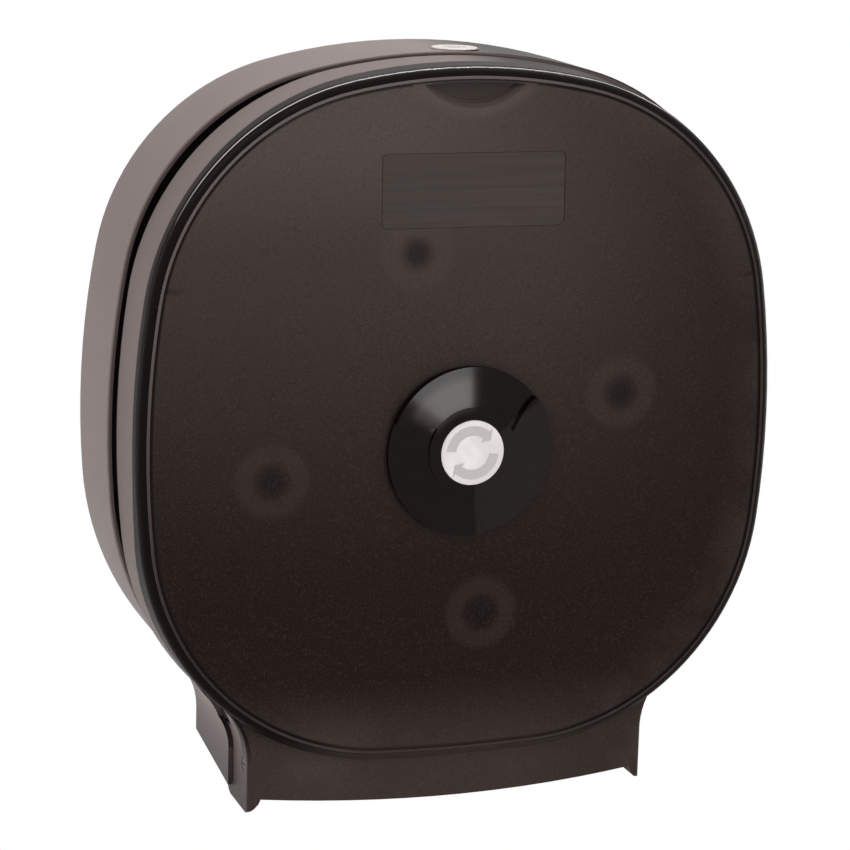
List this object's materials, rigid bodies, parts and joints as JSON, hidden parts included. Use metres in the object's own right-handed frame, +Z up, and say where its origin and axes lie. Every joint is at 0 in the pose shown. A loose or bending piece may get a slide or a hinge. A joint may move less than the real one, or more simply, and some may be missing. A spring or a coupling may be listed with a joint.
{
  "type": "toilet paper dispenser",
  "caption": "Wall-mounted dispenser with a carousel of roll spindles behind a dark hinged cover, turned by a front knob and shut by a key lock in the top.",
  "frame": {"origin": "centre of the four wall screw holes, in the plane of the wall, on the axis of the carousel and the knob", "axes": "+Z up, -Y from the wall towards the room, +X to the right as seen from the front"},
  "size_m": [0.362, 0.1229, 0.4007],
  "materials": {
    "housing_plastic": "satin",
    "cover_plastic": "fine texture",
    "knob_plastic": "gloss",
    "disc_plastic": "satin",
    "arrow_print": "matte",
    "label_steel": "brushed",
    "inner_plastic": "matte",
    "bearing_plastic": "natural",
    "spindle_plastic": "satin",
    "lock_metal": "satin",
    "steel": "zinc plated"
  },
  "bodies": {
    "housing": {"rear_housing": "housing_plastic", "axle_plate": "steel", "carousel_axle": "steel", "axle_plate_screws": "steel", "axle_washer": "bearing_plastic", "axle_clip": "steel", "detent_block": "bearing_plastic", "detent_block_screws": "steel", "detent_spring": "steel", "lock_bezel": "lock_metal", "lock_body": "lock_metal", "lock_nut": "lock_metal", "hinge_pin_left": "steel", "hinge_pin_right": "steel"},
    "detent": {"detent_plunger": "steel"},
    "lock_rotor": {"lock_cylinder": "lock_metal", "lock_cam": "steel", "cam_screw": "steel"},
    "cover": {"front_cover": "cover_plastic", "label_plate": "label_steel", "knob_bushing": "bearing_plastic", "latch_striker": "steel", "striker_screws": "steel"},
    "turning_knob": {"knob": "knob_plastic", "knob_disc": "disc_plastic", "arrow_inlays": "arrow_print", "knob_shaft": "steel", "drive_dog": "bearing_plastic", "dog_screw": "steel", "knob_clip": "steel"},
    "carousel": {"carousel_spider": "inner_plastic", "index_ring": "inner_plastic", "ring_screws": "steel", "hub_bushing": "bearing_plastic", "hub_column": "inner_plastic", "column_screws": "steel", "drive_socket": "bearing_plastic", "drag_washers": "bearing_plastic", "spindle_post_1": "steel", "spindle_post_2": "steel", "spindle_post_3": "steel", "spindle_post_4": "steel", "post_screws": "steel"},
    "roll_holder_1": {"roll_spindle_1": "spindle_plastic", "spindle_cap_1": "spindle_plastic"},
    "roll_holder_2": {"roll_spindle_2": "spindle_plastic", "spindle_cap_2": "spindle_plastic"},
    "roll_holder_3": {"roll_spindle_3": "spindle_plastic", "spindle_cap_3": "spindle_plastic"},
    "roll_holder_4": {"roll_spindle_4": "spindle_plastic", "spindle_cap_4": "spindle_plastic"}
  },
  "joints": [
    {"name": "cover_hinge", "type": "hinge", "parent": "housing", "child": "cover", "pos_m": [0, -0.09, -0.172], "axis": [1, 0, 0], "range_deg": [0, 90]},
    {"name": "carousel_turn", "type": "hinge", "parent": "housing", "child": "carousel", "pos_m": [0, -0.0215, 0], "axis": [0, 1, 0], "continuous": true},
    {"name": "knob_turn", "type": "hinge", "parent": "cover", "child": "turning_knob", "pos_m": [0, -0.1075, 0], "axis": [0, 1, 0], "continuous": true},
    {"name": "detent_slide", "type": "slide", "parent": "housing", "child": "detent", "axis": [0, 0, 1], "range_m": [0, 0.0018], "stiffness_N_per_m": 600, "springref_m": 0.004, "deforming": ["detent_spring"]},
    {"name": "lock_turn", "type": "hinge", "parent": "housing", "child": "lock_rotor", "pos_m": [0.009, -0.05, 0.195], "axis": [0, 0, 1], "range_deg": [-90, 0]},
    {"name": "roll_turn_1", "type": "hinge", "parent": "carousel", "child": "roll_holder_1", "pos_m": [-0.01945, -0.0508, 0.09911], "axis": [0, 1, 0], "continuous": true},
    {"name": "roll_turn_2", "type": "hinge", "parent": "carousel", "child": "roll_holder_2", "pos_m": [-0.09911, -0.0508, -0.01945], "axis": [0, 1, 0], "continuous": true},
    {"name": "roll_turn_3", "type": "hinge", "parent": "carousel", "child": "roll_holder_3", "pos_m": [0.01945, -0.0508, -0.09911], "axis": [0, 1, 0], "continuous": true},
    {"name": "roll_turn_4", "type": "hinge", "parent": "carousel", "child": "roll_holder_4", "pos_m": [0.09911, -0.0508, 0.01945], "axis": [0, 1, 0], "continuous": true}
  ],
  "couplings": [
    {"joint": "knob_turn", "follows": "carousel_turn", "ratio": 1}
  ]
}
